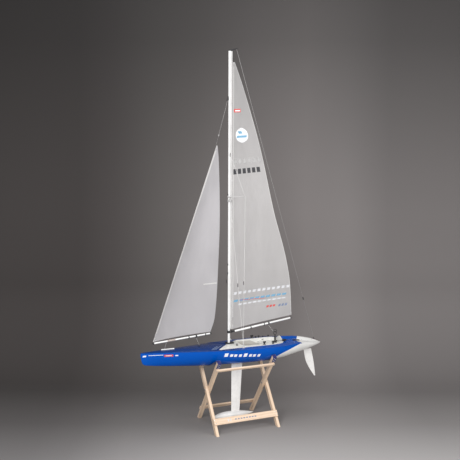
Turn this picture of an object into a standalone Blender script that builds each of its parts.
"""One-metre radio-controlled racing yacht, sitting in the slings of a folding wooden stand.

Metres, +Z up. The origin is on the floor under the middle of the hull's length. The bow points
to -X, port is -Y. Places along the boat are given as stations: metres aft of the bow.
"""

import math

import bmesh
import bpy
import numpy as np
from mathutils import Matrix, Vector

# Hull
LENGTH = 1.000
SHELL = 0.0018            # moulded wall of hull and deck
RIM_DROP = 0.0022         # the shell's rim lies this far under the sheer, and the deck closes it
FIT = 0.0003              # gap between pieces that touch
# (station, value) through which the hull's lines run
HALF_BEAM = [(0, .0025), (.05, .0135), (.10, .0255), (.20, .049), (.30, .072), (.40, .092), (.50, .108),
             (.60, .118), (.66, .120), (.72, .117), (.80, .099), (.86, .077), (.91, .058), (.95, .040),
             (.985, .018), (1, .004)]
KEEL_Z = [(0, .395), (.003, .379), (.009, .360), (.020, .3515), (.05, .3455), (.125, .336), (.20, .329),
          (.30, .3215), (.40, .318), (.50, .3155), (.60, .3155), (.70, .320), (.76, .326), (.82, .335),
          (.88, .344), (.94, .356), (.98, .3655), (1, .3715)]
SHEER_Z = [(0, .4125), (.20, .4095), (.35, .407), (.55, .4045), (.75, .4035), (.82, .4025), (.87, .398),
           (.92, .390), (.96, .3825), (1, .3745)]
FULLNESS = [(0, 1.6), (.15, 1.9), (.40, 2.2), (.70, 2.3), (1, 2.0)]
CAMBER = [(0, .001), (.10, .005), (.30, .0085), (.50, .0085), (.70, .0085), (.80, .006), (.90, .005),
          (1, .001)]
HUMP = [(.742, 0), (.756, .017), (.82, .015), (.91, .011), (.95, .009), (.98, .005), (1, 0)]
HUMP_HALF_WIDTH = 0.042

# Cockpit
PANEL = [(.379, .077), (.446, .016)]        # forward edge of the white panel, one side
PANEL_SIDE = [(.45, .0795), (.60, .083), (.70, .082), (.7542, .080)]
PANEL_THICK, PANEL_LIFT = .0013, .0008      # the panel lies this far over the deck's top
WELL = (.5130, .7540)                       # stations of the well's outer faces
WELL_HALF = 0.0675
FLOOR_Z = 0.3865
PLATFORM = (.655, .396)                     # station where the floor steps up, and its height
HATCH = (.530, .650, .050)                  # first and last station, half width
HATCH_OPENING = 0.005                       # ledge that the hatch rests on
HATCH_THICK = 0.0018

# Spars and sails
MAST_X, MAST_R, MAST_BORE = .4635, .00575, .0044
MAST_FOOT_Z, MAST_JOINT_Z, MAST_TOP_Z = .3300, 1.140, 1.8760
GROOVE_X, GROOVE_WIDTH, GROOVE_FOOT_Z = .4780, .005, .490
LUFF_X = .4805                              # axis on which boom and mainsail swing
GOOSENECK_Z = .4765
REST_SWING = math.radians(3)                # both sails hang slightly to starboard
MAIN_BOOM = ((.4960, .4768), (.8270, .5150), .0047)
MAIN_LEECH = [(.5310, .354), (.700, .345), (.820, .323), (1.080, .2456), (1.417, .159), (1.706, .060),
              (1.8235, .012)]
MAIN_TACK_Z = .4880
JIB_AXIS = ((.1213, .4188), (.4545, 1.6416))
JIB_BOOM = ((.0640, .4545), (.3680, .4740), .0040)
JIB_TACK, JIB_HEAD = (.0625, .4620), (.3962, 1.4139)
JIB_LEECH = [(.4830, .368), (.550, .392), (.790, .412), (1.045, .4207), (1.3425, .4092), (1.4139, .4000)]
SAIL_THICK = 0.0012

# Rigging
WIRE = 0.0006
CHAINPLATE = (.507, .083)
SPREADER_TIP = (.519, .065, 1.161)
UPPER_SHROUD_Z = 1.369
BACKSTAY = ((.5010, 1.8880), (.9603, .4030))    # two points on its line
BACKSTAY_ENDS = (1.8860, .4075)             # heights at which the wire stops
ADJUSTER_Z = .6176
FORESTAY_Z = 1.6416

# Keel, rudder and steering gear
FIN = ((.4785, .5398), (.4789, .5240))      # leading and trailing edge at the top and at the bottom
FIN_TOP_Z, FIN_HULL_Z, FIN_FOOT_Z, FIN_THICKNESS = .3740, .3120, .0500, .11
BULB = (.383, .6055, .0420, .0210)          # nose, tail, height of its axis, radius
RUDDER_X, RUDDER_TOP_Z, RUDDER_TIP_Z = .914, .3435, .1920
RUDDER_LEADING = [(.192, .968), (.205, .959), (.225, .9445), (.25, .929), (.28, .9145), (.3435, .8995)]
RUDDER_TRAILING = [(.192, .9745), (.26, .9645), (.3435, .9465)]
STOCK_R, STOCK_TOP_Z = .0020, .3945
SERVO_AXIS = (.721, -.027)
ARM = .018                                  # servo horn and tiller are the same length
ROD_Z, ROD_LOW_Z, ROD_R = .4160, .3945, .0010
HORN_Z = ROD_Z - .0024
BOARD_Z = .3530

# Stand
STAND_X = .5092
LEG_THICK, LEG_DEPTH = .0152, .020
OUTER_HALF, INNER_HALF = .1672, .1514       # frame centre to leg centre
FOOT_SPREAD, PIVOT_Z, LEG_TOP = .140, .191, .2085
RAIL_THICK = .0090
STRAP_THICK, STRAP_WIDTH, STRAP_GAP = .0012, .020, .0008
STRAP_SKEW = .064                           # metres aft per metre across, inner legs to outer legs

COLOURS = {
    "hull_blue": ((.005, .085, .46), .18, 0), "deck_blue": ((.010, .050, .30), .22, 0),
    "panel_white": ((.78, .78, .75), .35, 0), "hatch_grey": ((.55, .56, .55), .45, 0),
    "foil_white": ((.84, .83, .80), .30, 0), "bulb_white": ((.82, .81, .78), .32, 0),
    "spar_white": ((.86, .86, .86), .28, 0),
    "fitting_black": ((.015, .015, .017), .40, 0), "sail_cloth": ((.62, .61, .60), .55, 0),
    "steel": ((.60, .61, .63), .28, 1), "brass": ((.70, .52, .22), .30, 1),
    "servo_black": ((.02, .02, .022), .45, 0), "plywood": ((.62, .46, .28), .60, 0),
    "pale_wood": ((.78, .60, .40), .58, 0), "strap_blue": ((.012, .016, .11), .85, 0),
    "battery_sleeve": ((.12, .30, .20), .40, 0),
}


# ---------------------------------------------------------------- scene helpers

def clear_scene():
    for thing in list(bpy.data.objects):
        bpy.data.objects.remove(thing, do_unlink=True)


def make_materials():
    made = {}
    for name, (colour, roughness, metallic) in COLOURS.items():
        material = bpy.data.materials.new(name)
        material.use_nodes = True
        shader = material.node_tree.nodes["Principled BSDF"]
        shader.inputs["Base Color"].default_value = (*colour, 1)
        shader.inputs["Roughness"].default_value = roughness
        shader.inputs["Metallic"].default_value = metallic
        made[name] = material
    return made


def at(station):
    """X of a place given as metres aft of the bow."""
    return station - LENGTH / 2


def object_from(name, bm):
    bmesh.ops.recalc_face_normals(bm, faces=bm.faces)
    mesh = bpy.data.meshes.new(name)
    bm.to_mesh(mesh)
    bm.free()
    thing = bpy.data.objects.new(name, mesh)
    bpy.context.scene.collection.objects.link(thing)
    return thing


def node(name, bm, material, pivot=None, smooth=True):
    """A visible piece. With a pivot, it hangs from that empty and turns with it."""
    piece = object_from(name, bm)
    piece.data.materials.append(MATERIALS[material])
    if smooth:
        piece.data.shade_smooth()
        piece.data.set_sharp_from_angle(angle=math.radians(35))
    if pivot is not None:
        piece.parent = pivot
        piece.matrix_parent_inverse = pivot.matrix_world.inverted()
    return piece


def shape_with(piece, bm, operation, solver="EXACT"):
    """Joins a shape to the piece, or cuts it away, through a Boolean with a hidden helper."""
    helper = object_from(piece.name + "_" + operation.lower(), bm)
    helper.hide_render = True
    helper.display_type = "WIRE"
    helper.parent = piece.parent
    helper.matrix_parent_inverse = piece.matrix_parent_inverse.copy()
    change = piece.modifiers.new(helper.name, "BOOLEAN")
    change.operation = operation
    change.object = helper
    change.solver = solver
    return helper


def join(piece, *shapes):
    for bm in shapes:
        shape_with(piece, bm, "UNION")


def cut(piece, *shapes):
    for bm in shapes:
        shape_with(piece, bm, "DIFFERENCE")


def pivot_empty(name, place, direction=(0, 0, 1)):
    """An empty on a joint's axis, with its own Z along that axis."""
    empty = bpy.data.objects.new(name, None)
    bpy.context.scene.collection.objects.link(empty)
    turn = Vector((0, 0, 1)).rotation_difference(Vector(direction)).to_matrix().to_4x4()
    empty.matrix_world = Matrix.Translation(place) @ turn
    bpy.context.view_layer.update()
    return empty


# ---------------------------------------------------------------- curves

def spline(points):
    """A smooth curve through (place, value) points, which doesn't overshoot between them."""
    places, values = np.array(points, float).T
    widths = np.diff(places)
    slopes = np.diff(values) / widths
    tangents = np.concatenate([slopes[:1], np.zeros(len(slopes) - 1), slopes[-1:]])
    for i in range(1, len(slopes)):
        before, after = slopes[i - 1], slopes[i]
        if before * after > 0:
            near, far = 2 * widths[i] + widths[i - 1], widths[i] + 2 * widths[i - 1]
            tangents[i] = (near + far) / (near / before + far / after)

    def value(place):
        place = min(max(place, places[0]), places[-1])
        i = min(int(np.searchsorted(places, place, side="right")) - 1, len(widths) - 1)
        t = (place - places[i]) / widths[i]
        return float((1 + 2 * t) * (1 - t) ** 2 * values[i] + t * (1 - t) ** 2 * widths[i] * tangents[i]
                     + t * t * (3 - 2 * t) * values[i + 1] + t * t * (t - 1) * widths[i] * tangents[i + 1])

    return value


half_beam, keel_z, sheer_z = spline(HALF_BEAM), spline(KEEL_Z), spline(SHEER_Z)
fullness, camber, hump = spline(FULLNESS), spline(CAMBER), spline(HUMP)


def deck_z(station, y):
    """Top of the deck: a cambered surface with a rounded hump along the middle of the afterdeck."""
    beam = half_beam(station)
    across = min(abs(y) / beam, 1)
    width = min(HUMP_HALF_WIDTH, 0.8 * beam)
    bump = 0.5 + 0.5 * math.cos(math.pi * min(abs(y) / width, 1))
    return sheer_z(station) + camber(station) * (1 - across ** 2) + hump(station) * bump


def hull_section(station, inset=0.0, points=15):
    """(y, z) from the port rim round the bottom to the starboard rim."""
    beam, low = half_beam(station) - inset, keel_z(station) + inset
    high = sheer_z(station) - RIM_DROP
    power = 2 / fullness(station)
    found = []
    for i in range(points):
        angle = math.pi * i / (points - 1)
        side = -math.copysign(abs(math.cos(angle)) ** power, math.cos(angle))
        found.append((beam * side,
                      high - (high - low) * math.sin(angle) ** power if 0 < i < points - 1 else high))
    return found


def hull_half_width(station, z, inset):
    """Half width of the hull's inside at a height."""
    low, high = keel_z(station) + inset, sheer_z(station) - RIM_DROP
    depth = (high - z) / (high - low)
    power = fullness(station)
    return (half_beam(station) - inset) * (1 - depth ** power) ** (1 / power)


# ---------------------------------------------------------------- shapes

def loft(rings):
    """A closed body through rings of points, each ring with the same number."""
    bm = bmesh.new()
    made = [[bm.verts.new(p) for p in ring] for ring in rings]
    count = len(made[0])
    for first, second in zip(made, made[1:]):
        for i in range(count):
            j = (i + 1) % count
            bm.faces.new((first[i], first[j], second[j], second[i]))
    bm.faces.new(made[0])
    bm.faces.new(reversed(made[-1]))
    return bm


def prism(outline, low, high, place):
    """An outline of (a, b) points run from low to high. place(a, b, height) gives each point in space."""
    return loft([[place(a, b, height) for a, b in outline] for height in (low, high)])


def plate(outline, z_low, z_high):
    """A flat plate. Its outline is (station, y)."""
    return prism(outline, z_low, z_high, lambda a, b, h: (at(a), b, h))


def box(stations, ys, zs):
    return plate([(stations[0], ys[0]), (stations[1], ys[0]), (stations[1], ys[1]), (stations[0], ys[1])],
                 *zs)


def circle(radius, count):
    return [(radius * math.cos(2 * math.pi * i / count), radius * math.sin(2 * math.pi * i / count))
            for i in range(count)]


def frame_along(direction):
    """Two unit vectors square to a direction."""
    direction = Vector(direction).normalized()
    side = direction.cross(Vector((0, 0, 1)) if abs(direction.z) < 0.9 else Vector((0, 1, 0))).normalized()
    return side, direction.cross(side).normalized()


def swept(path, radius, count=8):
    """A round bar along points in space, mitred at its bends."""
    path = [Vector(p) for p in path]
    rings = []
    side, up = frame_along(path[1] - path[0])
    for i, point in enumerate(path):
        into = (point - path[max(i - 1, 0)]).normalized() if i else (path[1] - path[0]).normalized()
        out = (path[min(i + 1, len(path) - 1)] - point).normalized() if i < len(path) - 1 else into
        normal = (into + out).normalized()
        ring = []
        for a, b in circle(radius, count):
            spoke = side * a + up * b
            ring.append(point + spoke - into * (spoke.dot(normal) / into.dot(normal)))
        rings.append(ring)
    return loft(rings)


def bar(start, end, radius, count=12):
    return swept([start, end], radius, count)


def turned(start, direction, profile, count=16):
    """A body of revolution. Its profile is (distance along, radius) from end to end."""
    start, direction = Vector(start), Vector(direction).normalized()
    side, up = frame_along(direction)
    return loft([[start + direction * along + side * a + up * b for a, b in circle(radius, count)]
                 for along, radius in profile])


def ring_body(centre, direction, outer, inner, width, count=16):
    """A ring or a tube of the given width, with its bore along direction."""
    centre, direction = Vector(centre), Vector(direction).normalized()
    side, up = frame_along(direction)
    bm = bmesh.new()
    corners = ((-width / 2, outer), (width / 2, outer), (width / 2, inner), (-width / 2, inner))
    loops = [[bm.verts.new(centre + direction * along + side * a + up * b)
              for a, b in circle(radius, count)] for along, radius in corners]
    for first, second in zip(loops, loops[1:] + loops[:1]):
        for i in range(count):
            j = (i + 1) % count
            bm.faces.new((first[i], first[j], second[j], second[i]))
    return bm


def eye(centre, direction, radius, thickness, count=12, sides=6):
    """A round wire eye: a torus with its bore along direction."""
    centre, direction = Vector(centre), Vector(direction).normalized()
    side, up = frame_along(direction)
    bm = bmesh.new()
    loops = []
    for a, b in circle(1, count):
        spoke = side * a + up * b
        loops.append([bm.verts.new(centre + spoke * (radius + c) + direction * d)
                      for c, d in circle(thickness, sides)])
    for first, second in zip(loops, loops[1:] + loops[:1]):
        for i in range(sides):
            j = (i + 1) % sides
            bm.faces.new((first[i], first[j], second[j], second[i]))
    return bm


def foil_ring(leading, trailing, thickness, z, points=7):
    """One level of a symmetrical foil section between two stations."""
    chord = trailing - leading
    upper = []
    for i in range(points + 1):
        along = 0.5 - 0.5 * math.cos(math.pi * i / points)
        half = 5 * thickness * (0.2969 * math.sqrt(along) - 0.1260 * along - 0.3516 * along ** 2
                                + 0.2843 * along ** 3 - 0.1015 * along ** 4)
        upper.append((leading + chord * along, chord * half))
    lower = [(station, -half) for station, half in reversed(upper[1:-1])]
    return [(at(station), y, z) for station, y in upper + lower]


# ---------------------------------------------------------------- hull and deck

def hull_stations():
    return [0, .003, .009, .020] + list(np.linspace(.05, .95, 19)) + [.975, 1]


def deck_rings(stations, lift, thickness, points=12, flat_top=None):
    """Rings of a sheet that follows the deck. lift is from the deck's top to the sheet's underside."""
    rings = []
    for station in stations:
        beam = half_beam(station)
        ys = [beam * (2 * i / points - 1) for i in range(points + 1)]
        under = [(at(station), y, deck_z(station, y) + lift) for y in ys]
        over = [(at(station), y, flat_top or deck_z(station, y) + lift + thickness) for y in reversed(ys)]
        rings.append(under + over)
    return rings


def make_hull():
    outer = [[(at(s), y, z) for y, z in hull_section(s)] for s in hull_stations()]
    hull = node("hull_shell", loft(outer), "hull_blue")
    inside = []
    for station in [.014] + [s for s in hull_stations() if .02 <= s <= .96] + [.984]:
        section = hull_section(station, SHELL)
        edge = section[-1][0]
        ring = [(y, z) for y, z in section] + [(edge, .45), (-edge, .45)]
        inside.append([(at(station), y, z) for y, z in ring])
    cut(hull, loft(inside))
    cut(hull, fin_slot(), bar((at(RUDDER_X), 0, .33), (at(RUDDER_X), 0, .37), .0038))


def deck_stations(first=0, last=1):
    bow, middle = [0, .003, .009, .020], list(np.linspace(.05, .70, 14))
    step_up, stern = [.735, .742, .749, .756, .775], [.80, .83, .86, .89, .92, .95, .975, 1]
    return [s for s in bow + middle + step_up + stern if first <= s <= last]


def make_deck():
    deck = node("deck", loft(deck_rings(deck_stations(), -SHELL, SHELL)), "deck_blue")
    cut(deck, box((WELL[0] - FIT, WELL[1] + FIT), (-WELL_HALF - FIT, WELL_HALF + FIT), (.38, .46)))
    cut(deck, bar((at(MAST_X), 0, .39), (at(MAST_X), 0, .45), .0068), rod_slot(0))


def panel_outline():
    port = [(s, -y) for s, y in reversed(PANEL_SIDE)] + [(s, -y) for s, y in PANEL]
    return port + [(s, y) for s, y in reversed(PANEL)] + PANEL_SIDE


def make_cockpit_tray():
    wall = .0016
    tray = node("cockpit_tray", loft(deck_rings(deck_stations(.34, .78), PANEL_LIFT, PANEL_THICK)),
                "panel_white")
    shape_with(tray, plate(panel_outline(), .39, .45), "INTERSECT")
    well = shape_with(tray, box(WELL, (-WELL_HALF, WELL_HALF), (FLOOR_Z - wall, .45)), "UNION", "MANIFOLD")
    cut(well, loft(deck_rings(deck_stations(.49, .78), PANEL_LIFT + PANEL_THICK - .0004, 0, flat_top=.47)))
    inner_half = WELL_HALF - wall
    cut(tray, box((WELL[0] + wall, WELL[1] - wall), (-inner_half, inner_half), (FLOOR_Z, .46)))
    join(tray, box((PLATFORM[0], WELL[1] - wall / 2), (-inner_half - wall / 2, inner_half + wall / 2),
                   (FLOOR_Z - wall / 2, PLATFORM[1])))
    ledge = HATCH_OPENING
    cut(tray, box((HATCH[0] + ledge, HATCH[1] - ledge), (ledge - HATCH[2], HATCH[2] - ledge), (.38, .3880)))
    under = inner_half - .0004
    cut(tray, box((PLATFORM[0] + .0020, WELL[1] - wall - .0004), (-under, under),
                  (.380, PLATFORM[1] - .0018)))
    cut(tray, bar((at(SERVO_AXIS[0]), SERVO_AXIS[1], .390), (at(SERVO_AXIS[0]), SERVO_AXIS[1], .400),
                  .0045))
    cut(tray, box((.6830, .6970), (.0640, .0700), (.4000, .4035)))
    cut(tray, bar((at(MAST_X), 0, .39), (at(MAST_X), 0, .45), .0068))
    # Radio hatch, resting on the ledge of the floor
    hatch = node("radio_hatch", box(HATCH[:2], (-HATCH[2], HATCH[2]),
                                    (FLOOR_Z + FIT, FLOOR_Z + FIT + HATCH_THICK)),
                 "hatch_grey", PIVOTS["hatch"], smooth=False)
    join(hatch, box((HATCH[0] + .008, HATCH[1] - .008), (.008 - HATCH[2], HATCH[2] - .008), (.3848, .3880)))
    # Slide switch in the starboard wall of the well
    node("power_switch", box((.681, .699), (.0679, .0760), (.3975, .4055)), "servo_black", smooth=False)
    node("switch_slider", box((.6845, .6885), (.0622, .0672), (.4006, .4029)), "fitting_black",
         PIVOTS["switch"],
         smooth=False)


def rim_top(station, y):
    return deck_z(station, y) + PANEL_LIFT + PANEL_THICK


def make_deck_fittings():
    # Sheet post with its guide ring, on the raised floor
    post_x, foot = .728, PLATFORM[1] + FIT
    post = node("sheet_post", turned((at(post_x), 0, foot), (0, 0, 1),
                                     [(0, .0060), (.003, .0060), (.005, .0028),
                                                                     (.043, .0024)]), "fitting_black")
    join(post, eye((at(post_x), 0, foot + .0505), (0, 1, 0), .0085, .0016, 16))
    # Rack on the foredeck for the jib's swivel wire, and the eye for the jib sheet
    rack_foot = max(deck_z(.104, 0), deck_z(.171, 0)) + FIT
    node("jib_rack", box((.104, .171), (-.0030, .0030), (rack_foot, rack_foot + .0045)), "spar_white",
         smooth=False)
    eye_foot = deck_z(.303, 0) + FIT
    guide = node("jib_sheet_eye", turned((at(.303), 0, eye_foot), (0, 0, 1),
                                         [(0, .0045), (.0015, .0045), (.003, .002)],
                                         12), "fitting_black")
    join(guide, eye((at(.303), 0, eye_foot + .0060), (1, 0, 0), .0032, .0009))
    for side, name in ((-1, "port"), (1, "starboard")):
        station, y = CHAINPLATE
        foot = max(deck_z(station + d, side * y + e) for d in (-.011, .011) for e in (-.001, .001)) + FIT
        outline = [(station - .011, foot), (station + .011, foot), (station + .0015, foot + .012),
                   (station - .0015, foot + .012)]
        plate_y = side * y
        node("chainplate_" + name,
             prism(outline, plate_y - .0009, plate_y + .0009, lambda a, b, h: (at(a), h, b)),
             "spar_white", smooth=False)
    stern_foot = deck_z(BACKSTAY[1][0] - .004, 0) + FIT
    anchor = node("backstay_eye", turned((at(BACKSTAY[1][0]), 0, stern_foot), (0, 0, 1),
                                         [(0, .0040), (.0012, .0040), (.0030, .0016)], 12), "fitting_black")
    join(anchor, eye((at(BACKSTAY[1][0]), 0, stern_foot + .0055), (0, 1, 0), .0028, .0008))


def rod_slot(grow, zs=(.385, .43)):
    """The long hole in which the bend of the rudder rod travels."""
    half_long, half_wide, rounding = .0165 + grow, .0035 + grow, 6
    middle = (.832, -.0385)
    outline = []
    for end in (1, -1):
        for i in range(rounding + 1):
            angle = math.pi * (i / rounding - 0.5)
            outline.append((middle[0] + end * (half_long - half_wide + half_wide * math.cos(angle)),
                            middle[1] + end * half_wide * math.sin(angle)))
    return plate(outline, *zs)


# ---------------------------------------------------------------- keel, rudder, steering

def fin_slot():
    rings = [foil_ring(FIN[0][0] - .0006, FIN[0][1] + .0006, FIN_THICKNESS * 1.09, z) for z in (.300, .330)]
    return loft(rings)


def fin_edges(z):
    share = (FIN_HULL_Z - z) / (FIN_HULL_Z - FIN_FOOT_Z) if z < FIN_HULL_Z else 0
    return [top + (low - top) * share for top, low in zip(FIN[0], FIN[1])]


def make_keel():
    levels = (FIN_FOOT_Z, FIN_HULL_Z, FIN_TOP_Z)
    node("keel_fin", loft([foil_ring(*fin_edges(z), FIN_THICKNESS, z) for z in levels]),
         "foil_white")
    nose, tail, height, radius = BULB
    length = tail - nose
    profile = [(length * t, radius * shape) for t, shape in
               ((0, .04), (.012, .22), (.04, .42), (.10, .66), (.20, .88), (.32, .99), (.45, 1), (.60, .90),
                (.75, .66), (.88, .36), (.97, .11), (1, .03))]
    bulb = node("keel_bulb", turned((at(nose), 0, height), (1, 0, 0), profile), "bulb_white")
    edges = [fin_edges(z) for z in (FIN_FOOT_Z - FIT, .075)]
    cut(bulb, loft([foil_ring(a - .0005, b + .0005, FIN_THICKNESS * 1.12, z)
                    for (a, b), z in zip(edges, (FIN_FOOT_Z - FIT, .075))]))
    trunk = node("keel_trunk", box((.4762, .5421), (-.0062, .0062), (.3192, .3780)), "panel_white",
                 smooth=False)
    cut(trunk, box((.4780, .5403), (-.0042, .0042), (.3150, .3745)))
    cut(trunk, bar((at(.509), 0, .370), (at(.509), 0, .380), .0018))
    node("keel_bolt", turned((at(.509), 0, .3748), (0, 0, 1), [(0, .0015), (.0034, .0015), (.0035, .0034),
                                                            (.0058, .0034), (.0064, .0026)]), "steel")


def make_rudder():
    leading, trailing = spline(RUDDER_LEADING), spline(RUDDER_TRAILING)
    levels = [RUDDER_TOP_Z, .32, .28, .25, .225, .205, .197, RUDDER_TIP_Z]
    rings = [foil_ring(leading(z), trailing(z), .10, z) for z in levels]
    blade = node("rudder", loft(rings), "foil_white", PIVOTS["rudder"])
    join(blade, bar((at(RUDDER_X), 0, .3300), (at(RUDDER_X), 0, STOCK_TOP_Z), STOCK_R))
    node("rudder_tube", ring_body((at(RUDDER_X), 0, .3675), (0, 0, 1), .0034, STOCK_R + .0002, .043),
         "brass")
    tiller = node("tiller_arm", ring_body((at(RUDDER_X), 0, .3920), (0, 0, 1), .0048, STOCK_R + .0003,
                                          .0034),
                  "fitting_black", PIVOTS["rudder"])
    join(tiller, box((RUDDER_X - .0022, RUDDER_X + .0022), (-ARM - .003, -.0035), (.3910, .3930)))


def make_steering_gear():
    x, y = SERVO_AXIS
    servo = node("rudder_servo", box((.6905, .7305), (-.0370, -.0170), (BOARD_Z + FIT, .3935)),
                 "servo_black",
                 smooth=False)
    join(servo, bar((at(x), y, .392), (at(x), y, HORN_Z - .0017), .0029))
    horn = node("servo_horn", ring_body((at(x), y, HORN_Z), (0, 0, 1), .0052, .0012, .0026),
                "fitting_black",
                PIVOTS["horn"])
    join(horn, box((x - .0022, x + .0022), (y - ARM - .003, y - .0045), (HORN_Z - .0010, HORN_Z + .0010)))
    near, far = (x, y - ARM), (RUDDER_X, -ARM)
    path = [(at(near[0]), near[1], ROD_Z), (at(.8260), -.0395, ROD_Z), (at(.8380), -.0380, ROD_LOW_Z),
            (at(far[0]), far[1], ROD_LOW_Z)]
    rod = node("rudder_rod", swept(path, ROD_R),
               "steel", PIVOTS["rod"])
    join(rod, ring_body((at(near[0]), near[1], ROD_Z), (0, 0, 1), .0030, .0006, .0018, 10),
         ring_body((at(far[0]), far[1], ROD_LOW_Z), (0, 0, 1), .0030, .0006, .0018, 10))


def make_radio_gear():
    stations = np.linspace(.570, .736, 8)
    half = [hull_half_width(s, BOARD_Z - .003, SHELL) - .0025 for s in stations]
    outline = [(s, -h) for s, h in zip(stations, half)]
    outline += [(s, h) for s, h in zip(stations[::-1], half[::-1])]
    board = node("servo_board", plate(outline, BOARD_Z - .003, BOARD_Z), "plywood", smooth=False)
    cut(board, box((.5845, .6265), (-.0110, .0110), (.34, .36)))
    winch = node("winch_servo", box((.5850, .6260), (-.0105, .0105), (.3220, .3620)), "servo_black",
                 smooth=False)
    join(winch, box((.5780, .6330), (-.0095, .0095), (BOARD_Z + FIT, BOARD_Z + .0028)),
         bar((at(.597), 0, .3610), (at(.597), 0, .3640), .0030))
    drum = [(0, .0175), (.0016, .0175), (.0020, .0150), (.0060, .0150), (.0064, .0175), (.0080, .0175)]
    node("winch_drum", turned((at(.597), 0, .3643), (0, 0, 1), drum, 20),
         "fitting_black", PIVOTS["winch"])
    node("receiver", box((.640, .682), (-.0300, -.0040), (BOARD_Z + FIT, BOARD_Z + .0150)), "servo_black",
         smooth=False)
    node("battery_pack", box((.370, .448), (-.0150, .0150), (.3250, .3430)), "battery_sleeve", smooth=False)


# ---------------------------------------------------------------- spars, sails and rigging

def mast_tube(name, low, high, groove_low, material="spar_white"):
    middle = (at(MAST_X), 0, (low + high) / 2)
    tube = node(name, ring_body(middle, (0, 0, 1), MAST_R, MAST_BORE, high - low), material)
    join(tube, box((MAST_X + MAST_BORE + .0007, GROOVE_X), (-GROOVE_WIDTH / 2, GROOVE_WIDTH / 2),
                   (groove_low, high - .0005)))
    return tube


def make_mast():
    mast_tube("mast_lower", MAST_FOOT_Z, MAST_JOINT_Z, GROOVE_FOOT_Z)
    upper = mast_tube("mast_upper", MAST_JOINT_Z + FIT, MAST_TOP_Z, MAST_JOINT_Z + .001)
    join(upper, box((.4530, MAST_X - MAST_BORE - .0006), (-.0016, .0016),
                    (FORESTAY_Z - .003, FORESTAY_Z + .005)))
    node("mast_ferrule", bar((at(MAST_X), 0, MAST_JOINT_Z - .030), (at(MAST_X), 0, MAST_JOINT_Z + .030),
                             MAST_BORE - .0005), "steel")
    foot = rim_top(MAST_X, 0) + FIT
    half = [(.4455, -.009), (.4520, -.015), (.4830, -.015), (.4895, -.009)]
    outline = half + [(s, -y) for s, y in reversed(half)]
    collar = node("mast_collar", plate(outline, foot, foot + .0050), "fitting_black", smooth=False)
    cut(collar, bar((at(MAST_X), 0, .40), (at(MAST_X), 0, .43), MAST_R + .0003, 16))


def make_masthead():
    top = MAST_TOP_Z + FIT
    outline = [(.4575, top), (.4700, top), (.5050, top + .0130), (.5050, top + .0165), (.4575, top + .0045)]
    crane = node("masthead_crane", prism(outline, -.0022, .0022, lambda a, b, h: (at(a), h, b)),
                 "fitting_black",
                 smooth=False)
    join(crane, bar((at(MAST_X), 0, top - .014), (at(MAST_X), 0, top + .003), MAST_BORE - .0004))


def make_spreader():
    z, reach = SPREADER_TIP[2], .0068
    spreader = node("spreader", ring_body((at(MAST_X), 0, z), (0, 0, 1), .0085, MAST_R + .0003, .010),
                    "spar_white")
    for side in (-1, 1):
        join(spreader, bar((at(MAST_X + .0015), side * reach, z),
                           (at(SPREADER_TIP[0]), side * SPREADER_TIP[1], z),
                           .0015, 8))
    cut(spreader, box((MAST_X + .003, MAST_X + .02), (-.0033, .0033), (z - .02, z + .02)))


def make_shrouds():
    for side, name in ((-1, "port"), (1, "starboard")):
        foot_z = deck_z(*CHAINPLATE) + .0165
        foot = Vector((at(CHAINPLATE[0]), side * CHAINPLATE[1], foot_z))
        tip = Vector((at(SPREADER_TIP[0]) + .0012, side * (SPREADER_TIP[1] + .0032), SPREADER_TIP[2]))
        upper_end = Vector((at(MAST_X) + .0020, side * .0068, UPPER_SHROUD_Z))
        lower_end = Vector((at(MAST_X) + .0015, side * .0072, SPREADER_TIP[2] - .014))
        shrouds = node("shrouds_" + name, swept([foot, tip, upper_end], WIRE, 6), "steel")
        join(shrouds, swept([foot + Vector((0, 0, .0004)), lower_end], WIRE, 6),
             bar(foot - Vector((0, 0, .0020)), foot + Vector((0, 0, .0080)), .0014, 8))


def backstay_point(z):
    top, foot = BACKSTAY
    share = (top[1] - z) / (top[1] - foot[1])
    return Vector((at(top[0] + (foot[0] - top[0]) * share), 0, z))


def make_backstay():
    node("backstay", swept([backstay_point(BACKSTAY_ENDS[0]), backstay_point(BACKSTAY_ENDS[1])], WIRE, 6),
         "steel")
    middle = backstay_point(ADJUSTER_Z)
    direction = backstay_point(.5) - backstay_point(.6)
    node("backstay_adjuster", ring_body(middle, direction, .0026, .0009, .014, 12), "fitting_black",
         PIVOTS["adjuster"])


def make_gooseneck():
    ring = ring_body((at(MAST_X), 0, GOOSENECK_Z), (0, 0, 1), .0085, MAST_R + .0003, .012)
    bracket = node("gooseneck_bracket", ring, "fitting_black")
    for low in (GOOSENECK_Z - .0060, GOOSENECK_Z + .0035):
        join(bracket, box((MAST_X + .0070, LUFF_X + .0030), (-.0030, .0030), (low, low + .0025)))
    join(bracket, bar((at(LUFF_X), 0, GOOSENECK_Z - .005), (at(LUFF_X), 0, GOOSENECK_Z + .005), .0012))
    block = box((LUFF_X - .0030, .4905), (-.0028, .0028), (GOOSENECK_Z - .0030, GOOSENECK_Z + .0030))
    knuckle = node("gooseneck_knuckle", block, "fitting_black", PIVOTS["main"], smooth=False)
    start, direction = boom_line(MAIN_BOOM)
    socket = [(0, .0030), (.002, .0052), (.0072, .0052)]
    join(knuckle, turned(start - direction * .0075, direction, socket, 12))
    cut(knuckle, bar((at(LUFF_X), 0, GOOSENECK_Z - .005), (at(LUFF_X), 0, GOOSENECK_Z + .005), .0015))


def boom_line(boom):
    (front, front_z), (rear, rear_z), _ = boom
    start = Vector((at(front), 0, front_z))
    return start, (Vector((at(rear), 0, rear_z)) - start).normalized()


def boom_point(boom, station, drop=0.0):
    start, direction = boom_line(boom)
    return start + direction * ((at(station) - start.x) / direction.x) - Vector((0, 0, drop))


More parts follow.
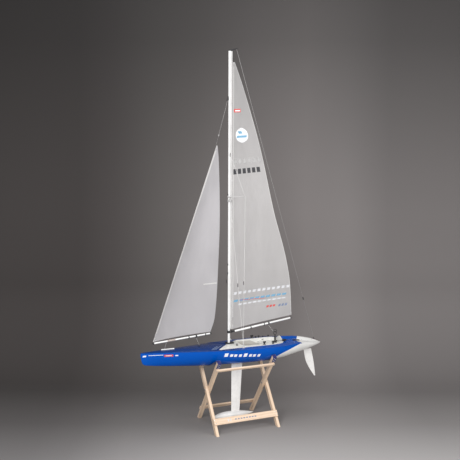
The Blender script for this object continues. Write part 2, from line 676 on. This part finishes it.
def end_cap(name, boom, pivot):
    """A moulded plug that covers the after end of a boom."""
    _, direction = boom_line(boom)
    (rear, _), radius = boom[1], boom[2]
    node(name, turned(boom_point(boom, rear) + direction * FIT, direction,
                      [(0, radius + .0007), (.004, radius + .0007),
                       (.0062, radius * .5)], 12), "fitting_black", pivot)


def sheet_ring(name, boom, station, pivot):
    """A ring round the boom, with a small eye under it for the sheet."""
    radius = boom[2]
    _, direction = boom_line(boom)
    clamp = node(name, ring_body(boom_point(boom, station), direction, radius + .0019, radius + .0003,
                                 .007),
                 "fitting_black", pivot)
    join(clamp, eye(boom_point(boom, station, radius + .0042), (0, 1, 0), .0027, .0008))


def make_main_rig():
    pivot = PIVOTS["main"]
    (_, front_z), (rear, rear_z), radius = MAIN_BOOM
    end = boom_point(MAIN_BOOM, rear)
    node("main_boom", bar((at(MAIN_BOOM[0][0]), 0, front_z), end, radius, 16), "spar_white", pivot)
    end_cap("main_boom_cap", MAIN_BOOM, pivot)
    sheet_ring("main_sheet_ring", MAIN_BOOM, .695, pivot)
    leech = spline(MAIN_LEECH)
    luff = LUFF_X + .0018
    heights = np.linspace(MAIN_LEECH[0][0], MAIN_LEECH[-1][0], 15)
    outline = [(luff, MAIN_TACK_Z)] + [(LUFF_X + leech(z), z) for z in heights]
    outline.append((luff, MAIN_LEECH[-1][0]))
    node("main_sail", prism(outline, -SAIL_THICK / 2, SAIL_THICK / 2, lambda a, b, h: (at(a), h, b)),
         "sail_cloth", pivot, smooth=False)


def make_jib_rig():
    pivot = PIVOTS["jib"]
    (_, front_z), (rear, _), radius = JIB_BOOM
    end = boom_point(JIB_BOOM, rear)
    node("jib_boom", bar((at(JIB_BOOM[0][0]), 0, front_z), end, radius, 14), "spar_white", pivot)
    sheet_ring("jib_sheet_ring", JIB_BOOM, .290, pivot)
    leech = spline(JIB_LEECH)
    heights = np.linspace(JIB_LEECH[0][0], JIB_LEECH[-1][0], 12)
    outline = [JIB_TACK] + [(leech(z), z) for z in heights] + [JIB_HEAD]
    node("jib_sail", prism(outline, -SAIL_THICK / 2, SAIL_THICK / 2, lambda a, b, h: (at(a), h, b)),
         "sail_cloth",
         pivot, smooth=False)
    foot, top = (Vector((at(a), 0, z)) for a, z in JIB_AXIS)
    direction = (top - foot).normalized()
    rack_top = max(deck_z(.104, 0), deck_z(.171, 0)) + FIT + .0045 + FIT
    low = foot + direction * ((rack_top - foot.z) / direction.z)
    under_boom = boom_point(JIB_BOOM, .1270).z - radius - FIT
    high = foot + direction * ((under_boom - .001 - foot.z) / direction.z)
    node("jib_swivel_wire", swept([low, high], .0008, 6), "steel", pivot)
    head_z = JIB_HEAD[1] + .004
    head = foot + direction * ((head_z - foot.z) / direction.z)
    last = foot + direction * ((FORESTAY_Z - .008 - foot.z) / direction.z)
    stay = node("forestay", swept([head, last], WIRE, 6), "steel", pivot)
    swivel = foot + direction * ((1.4631 - foot.z) / direction.z)
    join(stay, turned(swivel, direction, [(-.005, .0014), (-.003, .0024), (.003, .0024), (.005, .0014)], 8))


# ---------------------------------------------------------------- stand

LEG_ANGLE = math.atan2(FOOT_SPREAD, PIVOT_Z)


def leg_point(lean, along, off):
    """(y, z) of a point on a leg: metres up from the pivot, and off its middle towards its lower side."""
    sine, cosine = math.sin(LEG_ANGLE), math.cos(LEG_ANGLE)
    return lean * (along * sine + off * cosine), PIVOT_Z + along * cosine - off * sine


def leg(name, station, lean, pivot=None):
    half = LEG_DEPTH / 2
    foot = [-(PIVOT_Z - off * math.sin(LEG_ANGLE)) / math.cos(LEG_ANGLE) for off in (-half, half)]
    outline = [leg_point(lean, foot[0], -half), leg_point(lean, foot[1], half),
               leg_point(lean, LEG_TOP, half), leg_point(lean, LEG_TOP, -half)]
    piece = node(name, prism(outline, station - LEG_THICK / 2, station + LEG_THICK / 2,
                             lambda a, b, h: (at(h), a, b)), "pale_wood", pivot, smooth=False)
    cut(piece, bar((at(station - .02), 0, PIVOT_Z), (at(station + .02), 0, PIVOT_Z), .0028))


def rail(name, half_length, lean, along, height, pivot=None):
    """A rail across a frame, on the outside of the crossed legs."""
    near = LEG_DEPTH / 2 + FIT
    side = 1 if along > 0 else -1
    outline = [leg_point(lean, along - height / 2, side * near),
               leg_point(lean, along + height / 2, side * near),
               leg_point(lean, along + height / 2, side * (near + RAIL_THICK)),
               leg_point(lean, along - height / 2, side * (near + RAIL_THICK))]
    node(name, prism(outline, STAND_X - half_length, STAND_X + half_length, lambda a, b, h: (at(h), a, b)),
         "pale_wood", pivot, smooth=False)


def taut(points):
    """The lower convex chain through (y, z) points, as a strap pulled tight under them lies."""
    chain = []
    for point in sorted(points):
        while len(chain) > 1:
            (ay, az), (by, bz) = chain[-2], chain[-1]
            if (by - ay) * (point[1] - az) - (bz - az) * (point[0] - ay) > 0:
                break
            chain.pop()
        chain.append(point)
    return chain


def ribbon(path, thickness):
    """The outline of a strip of even thickness along a path of (y, z) points."""
    left, right = [], []
    for i, (y, z) in enumerate(path):
        before, after = path[max(i - 1, 0)], path[min(i + 1, len(path) - 1)]
        into = Vector((y - before[0], z - before[1])).normalized() if i else None
        out = Vector((after[0] - y, after[1] - z)).normalized() if i < len(path) - 1 else into
        into = into or out
        bisector = (into + out).normalized()
        reach = thickness / 2 / max(bisector.dot(out), 0.5)
        normal = Vector((-bisector.y, bisector.x)) * reach
        left.append((y + normal.x, z + normal.y))
        right.append((y - normal.x, z - normal.y))
    return left + right[::-1]


def sling(name, station, skew):
    """A strap from the port leg tops to the starboard ones, under the hull, running a little askew."""
    clear = STRAP_GAP + STRAP_THICK / 2
    reach = [station - STRAP_WIDTH / 2, station, station + STRAP_WIDTH / 2]
    hull_points = []
    for s in reach:
        section = hull_section(s, 0, 29)
        for before, here, after in zip(section, section[1:], section[2:]):
            tangent = Vector((after[0] - before[0], after[1] - before[1])).normalized()
            hull_points.append((here[0] + tangent.y * clear, here[1] - tangent.x * clear))
    face = LEG_DEPTH / 2 + FIT + STRAP_THICK / 2
    top = LEG_TOP + FIT + STRAP_THICK / 2
    corner = leg_point(1, top, -face)
    low_points = [p for p in hull_points if abs(p[0]) < corner[0] and p[1] < corner[1] + .01]
    under = taut(low_points + [corner, (-corner[0], corner[1])])
    over_starboard = [leg_point(1, top, face), leg_point(1, LEG_TOP - .034, face)]
    over_port = [leg_point(-1, LEG_TOP - .034, face), leg_point(-1, top, face)]
    path = over_port + under + over_starboard
    node(name, prism(ribbon(path, STRAP_THICK), station - STRAP_WIDTH / 2, station + STRAP_WIDTH / 2,
                     lambda a, b, h: (at(h) + skew * a, a, b)), "strap_blue", smooth=False)


def make_stand():
    inner = PIVOTS["fold"]
    for side, name in ((-1, "front"), (1, "rear")):
        leg("outer_leg_" + name, STAND_X + side * OUTER_HALF, 1)
        leg("inner_leg_" + name, STAND_X + side * INNER_HALF, -1, inner)
        nut_end = STAND_X + side * (INNER_HALF - LEG_THICK / 2 - FIT - .0030)
        grip = OUTER_HALF - INNER_HALF + LEG_THICK + 2 * FIT
        profile = [(0, .0046), (.0030, .0046), (.0031, .0025), (.0029 + grip, .0025),
                   (.0030 + grip, .0060), (.0044 + grip, .0056), (.0050 + grip, .0036)]
        node("pivot_bolt_" + name, turned((at(nut_end), 0, PIVOT_Z), (side, 0, 0), profile, 12),
             "steel")
        sling("sling_strap_" + name, STAND_X + side * (OUTER_HALF + INNER_HALF) / 2, side * STRAP_SKEW)
    rail("outer_top_rail", OUTER_HALF + LEG_THICK / 2, 1, .163, .012)
    rail("outer_bottom_rail", OUTER_HALF + LEG_THICK / 2, 1, -.173, .032)
    rail("inner_top_rail", INNER_HALF + LEG_THICK / 2, -1, .163, .012, inner)
    rail("inner_bottom_rail", INNER_HALF + LEG_THICK / 2, -1, -.171, .020, inner)


# ---------------------------------------------------------------- assembly

def make_pivots():
    foot, top = (Vector((at(a), 0, z)) for a, z in JIB_AXIS)
    horn = (at(SERVO_AXIS[0]), SERVO_AXIS[1], HORN_Z)
    return {
        "main": pivot_empty("main_swing", (at(LUFF_X), 0, GOOSENECK_Z)),
        "jib": pivot_empty("jib_swing", foot, top - foot),
        "rudder": pivot_empty("rudder_turn", (at(RUDDER_X), 0, RUDDER_TOP_Z)),
        "horn": pivot_empty("horn_turn", horn),
        "rod": pivot_empty("rod_travel", (at(.82), -.04, ROD_Z), (1, 0, 0)),
        "winch": pivot_empty("winch_turn", (at(.597), 0, .3643)),
        "hatch": pivot_empty("hatch_lift", (at(.59), 0, FLOOR_Z)),
        "switch": pivot_empty("switch_slide", (at(.6865), .066, .4018), (1, 0, 0)),
        "adjuster": pivot_empty("adjuster_slide", backstay_point(ADJUSTER_Z),
                                backstay_point(.7) - backstay_point(.6)),
        "fold": pivot_empty("stand_fold", (at(STAND_X), 0, PIVOT_Z), (1, 0, 0)),
    }


def swing_sails():
    """Turns both rigs from the centreline to where they hang."""
    for key in ("main", "jib"):
        pivot = PIVOTS[key]
        pivot.matrix_world = pivot.matrix_world @ Matrix.Rotation(REST_SWING, 4, "Z")


clear_scene()
MATERIALS = make_materials()
PIVOTS = make_pivots()
make_hull()
make_deck()
make_cockpit_tray()
make_deck_fittings()
make_keel()
make_rudder()
make_steering_gear()
make_radio_gear()
make_mast()
make_masthead()
make_spreader()
make_shrouds()
make_backstay()
make_gooseneck()
make_main_rig()
make_jib_rig()
make_stand()
swing_sails()
